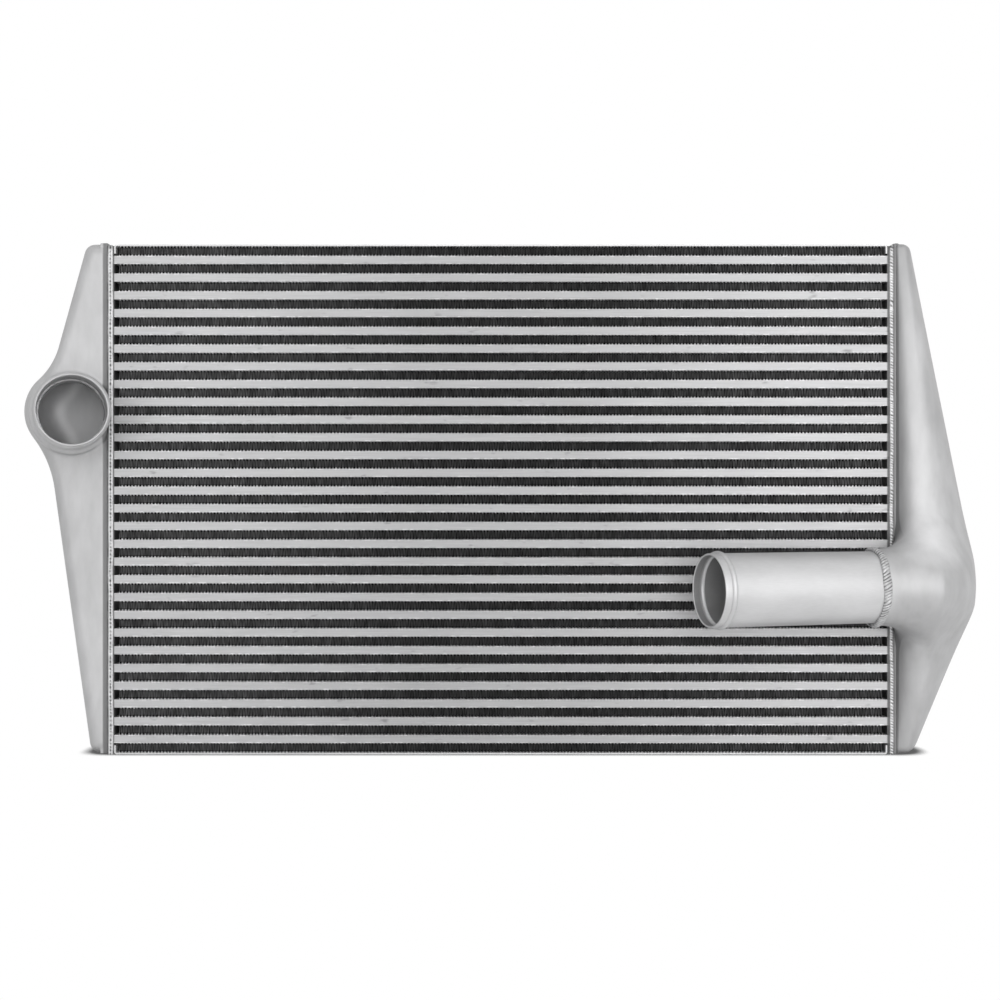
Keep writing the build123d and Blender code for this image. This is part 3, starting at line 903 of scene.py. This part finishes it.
# Mark for the painted shade in the bore, less the bead's groove.
outward = points - tube_rim
lengthwise = outward @ tube_way
from_axis = np.linalg.norm(outward - lengthwise[:, None] * tube_way, axis=1)
groove = np.exp(-((lengthwise + bead_from_rim) / (0.4 * bead_width)) ** 2)
mark(tube, "inside", (from_axis < hose_inner_radius + 0.2 * mm) * (1 - groove))


# Welds: hand-laid beads, each a row of overlapping puddles that froze as ripples. One
# runs down each header joint, front and back, and over the top; one rings the elbow.
def weld_material():
    """Bright ripples, darkened where the mesh's mark says so: sooty in part, and painted shade in the bead's
    hollows, at its toes and in the crater.
    """
    material, tree, surface = shader("weld_bead", (0.6, 0.6, 0.6), 0.35, 0.45)
    speck = noise(tree, 260, (1, 1, 1), 3)
    # The mark darkens the bead: partly sooty, partly painted shade in its hollows.
    clean_and_unshaded = ramp(tree, marked(tree, "soot_and_shade"), 0, 1, 1.0, 0.1)
    value = times(tree, ramp(tree, speck, 0.35, 0.65, 0.58, 0.78), clean_and_unshaded)
    tree.links.new(grey(tree, value), surface.inputs["Base Color"])
    tree.links.new(ramp(tree, speck, 0.3, 0.7, 0.36, 0.5), surface.inputs["Roughness"])
    bump(tree, surface, speck, 0.15, 0.0003)
    return material


weld_bead = weld_material()


def header_weld(name, side, replaced, seed, width, pitch, inward, weave):
    """A low bead along the joint, up the front, over the top and down the back. With no
    weave its height over the width is two toes with a crater between them at each pitch;
    with weave it is one rope whose ripples slant."""
    rng = np.random.default_rng(seed)
    bar_top = tank_height - 3.5 * mm
    length = bar_top + core_depth + bar_top
    steps = int(length / (0.75 * mm))
    along = np.linspace(0, length, steps)
    s, u = np.meshgrid(along, np.linspace(-1, 1, 13), indexing="ij")
    knots = np.linspace(0, length, 160)
    drift = np.interp(along, knots[::3], rng.normal(0, 0.22 * mm, 54))[:, None]
    strength = np.interp(along, knots, rng.uniform(0.6, 1.15, 160))[:, None]
    uneven = np.interp(along, knots, rng.normal(0, 0.3 * pitch, 160))[:, None]
    dirt = np.interp(along, np.linspace(0, length, 500), rng.uniform(0.3, 1.3, 500))[:, None]
    slant = 0.7 * mm * u if weave else 0.6 * mm * np.abs(u)
    phase = 2 * math.pi * (s + uneven + slant) / pitch
    pits = np.exp(-(u / (0.8 if weave else 0.3)) ** 2) * (0.5 + 0.5 * np.cos(phase)) ** 2
    # The dark mark below is partly sooty and partly painted shade: it darkens the pits, the bead's toes
    # where it meets the metal, and the corners.
    if weave:
        lift = (1.25 * (1 - u * u) - 0.6 * pits) * strength * mm
        soot_and_shade = 1.3 * pits * dirt
    else:
        toes = np.exp(-((np.abs(u) - 0.42) / 0.26) ** 2)
        lift = (1.0 * toes + 0.5 * (1 - u * u) - 0.95 * pits) * strength * mm
        soot_and_shade = (1.2 * pits + 0.35 * np.exp(-(u / 0.25) ** 2)) * dirt
    to_corners = np.stack([along - bar_top, length - along - bar_top])
    corner = np.exp(-(to_corners / (2.5 * mm)) ** 2).sum(0)[:, None]
    lift = np.clip(lift * (1 - u ** 8) * (1 + 0.5 * corner), 0, 1.38 * mm)
    soot_and_shade = np.clip(soot_and_shade + 0.8 * np.exp(-((1 - np.abs(u)) / 0.12) ** 2) + 0.5 * corner, 0, 1)
    x = side * (core_end - inward + u * width / 2) + drift
    half = core_depth / 2
    y = np.clip(along - bar_top - half, -half, half)
    z = np.minimum(bar_top, np.minimum(along, length - along))
    root = np.stack([x, np.broadcast_to(y[:, None], x.shape), np.broadcast_to(z[:, None], x.shape)], -1)
    turn = 1.5 * mm
    upward = (np.clip((along - bar_top + turn) / (2 * turn), 0, 1)
              - np.clip((along - bar_top - core_depth + turn) / (2 * turn), 0, 1))
    outward = np.where(along < length / 2, -1, 1) * np.sqrt(1 - upward ** 2 + 1e-9)
    out = np.stack([np.zeros(steps), outward, upward], -1)[:, None]
    points = np.concatenate([root + lift[..., None] * out, root - 0.15 * mm * out]).reshape(-1, 3)
    points[:, 2] = points[:, 2].clip(0, tank_height)
    faces = slab_faces(*u.shape)[:, ::-side].tolist()
    piece = add_piece(name, points, faces, weld_bead, [replaced], 60)
    mark(piece, "soot_and_shade", np.tile(soot_and_shade.ravel(), 2))


header_weld("left_header_bead", -1, "left_header_weld", 11, 5.0 * mm, 3.7 * mm, 3.4 * mm, False)
header_weld("right_header_bead", 1, "right_header_weld", 12, 3.9 * mm, 3.0 * mm, 2.6 * mm, True)


def ring_weld():
    """Bead round the elbow's end: a torus of uneven section with a ripple across it about
    every three millimetres and one crater where the arc was broken off."""
    across = np.cross(np.array([0, 0, 1.0]), weld_way)
    ripple_pitch = 3.1 * mm
    radius = 36.6 * mm
    turns = int(2 * math.pi * radius / (ripple_pitch / 6))
    around = np.linspace(0, 2 * math.pi, turns, endpoint=False)
    section = np.linspace(0, 2 * math.pi, 20, endpoint=False)
    a, b = np.meshgrid(around, section, indexing="ij")
    ripples = round(2 * math.pi * radius / ripple_pitch)
    hand = 0.35 * np.sin(7 * a) + 0.3 * np.sin(17 * a + 2) + 0.25 * np.sin(31 * a + 1)
    wave = np.cos(ripples * (a + 0.7 * ripple_pitch / radius * np.cos(b)) + 2 * hand)
    crater = np.exp(-((a - 4.65) / 0.06) ** 2)
    wobble = 0.12 * np.sin(3 * a + 1) + 0.08 * np.sin(11 * a)
    size = (1 + 0.24 * wave + wobble) * (1 - 0.3 * crater)
    r = radius + 2.3 * mm * size * np.sin(b)
    t = 3.9 * mm * (1 + 0.5 * wobble) * np.cos(b) + 0.5 * mm * np.sin(5 * a)
    out = np.cos(a)[..., None] * across + np.sin(a)[..., None] * np.array([0, 0, 1.0])
    points = weld_centre + t[..., None] * weld_way + r[..., None] * out
    piece = add_piece("outlet_ring_bead", points.reshape(-1, 3), wrapped_grid(*a.shape).tolist(), weld_bead,
                      ["outlet_weld"], 60)
    # The dark mark is partly sooty and partly painted shade: a grey ground, the troughs between ripples and
    # the crater.
    soot_and_shade = 0.25 + np.clip(-wave - 0.1, 0, 1) * (0.65 + 0.5 * hand) + 0.7 * crater
    mark(piece, "soot_and_shade", soot_and_shade.clip(0, 1))


ring_weld()


# The cooler stands on a white sweep. It shows white to the camera and in reflections,
# with a painted contact shadow under the object.
def seen_rays(tree):
    """1 for the camera's rays and for those off metal and through glass, else nought."""
    path = tree.nodes.new("ShaderNodeLightPath")
    seen = arithmetic(tree, "MAXIMUM", path.outputs["Is Camera Ray"], path.outputs["Is Glossy Ray"])
    return arithmetic(tree, "MAXIMUM", seen, path.outputs["Is Transmission Ray"])


def white_stage():
    """Floor that the camera sees as a white glow, dimmed near the object by ambient occlusion
    as a painted contact shadow, and that lights the object as a plain lit surface."""
    material = bpy.data.materials.new("white_floor")
    material.use_nodes = True
    tree = material.node_tree
    tree.nodes.clear()
    output = tree.nodes.new("ShaderNodeOutputMaterial")
    lit = tree.nodes.new("ShaderNodeBsdfDiffuse")
    lit.inputs["Color"].default_value = (0.92, 0.92, 0.92, 1)
    glow = tree.nodes.new("ShaderNodeEmission")
    glow.inputs["Color"].default_value = (1, 1, 1, 1)
    nearby = tree.nodes.new("ShaderNodeAmbientOcclusion")
    nearby.inputs["Distance"].default_value = 0.018
    # Painted contact shadow: ambient occlusion dims the glow near the object.
    tree.links.new(ramp(tree, nearby.outputs["AO"], 0.5, 0.9, 0.12, 1.0), glow.inputs["Strength"])
    both = tree.nodes.new("ShaderNodeMixShader")
    tree.links.new(seen_rays(tree), both.inputs[0])
    tree.links.new(lit.outputs[0], both.inputs[1])
    tree.links.new(glow.outputs[0], both.inputs[2])
    tree.links.new(both.outputs[0], output.inputs[0])
    floor_mesh = bpy.data.meshes.new("floor")
    half = 6.0
    corners = [(-half, -half, 0), (half, -half, 0), (half, half, 0), (-half, half, 0)]
    floor_mesh.from_pydata(corners, [], [(0, 1, 2, 3)])
    floor_mesh.materials.append(material)
    floor = bpy.data.objects.new("floor", floor_mesh)
    bpy.context.scene.collection.objects.link(floor)


white_stage()

world = bpy.data.worlds.new("studio")
bpy.context.scene.world = world
world.use_nodes = True
sky = world.node_tree
background = sky.nodes["Background"]
strength = ramp(sky, seen_rays(sky), 0, 1, 0.44, 1.0)
background.inputs["Color"].default_value = (1, 1, 1, 1)
sky.links.new(strength, background.inputs["Strength"])


def softbox(name, place, aim, size, power):
    """A rectangular soft light at a place, turned to an aim."""
    data = bpy.data.lights.new(name, "AREA")
    data.shape = "RECTANGLE"
    data.size, data.size_y = size
    data.energy = power
    lamp = bpy.data.objects.new(name, data)
    lamp.location = place
    way = np.array(aim, float) - np.array(place, float)
    lamp.rotation_euler = Vector(way).to_track_quat("-Z", "Y").to_euler()
    bpy.context.scene.collection.objects.link(lamp)


softbox("key", (0.8, -2.1, 1.0), (0.1, 0, 0.25), (2.6, 1.8), 17)
softbox("front", (-0.5, -2.5, 0.6), (-0.1, 0, 0.25), (2.4, 1.4), 15)
softbox("low", (0.7, -1.5, 0.1), (0.42, 0, 0.15), (1.2, 0.4), 5)

bpy.context.scene.view_settings.view_transform = "Standard"
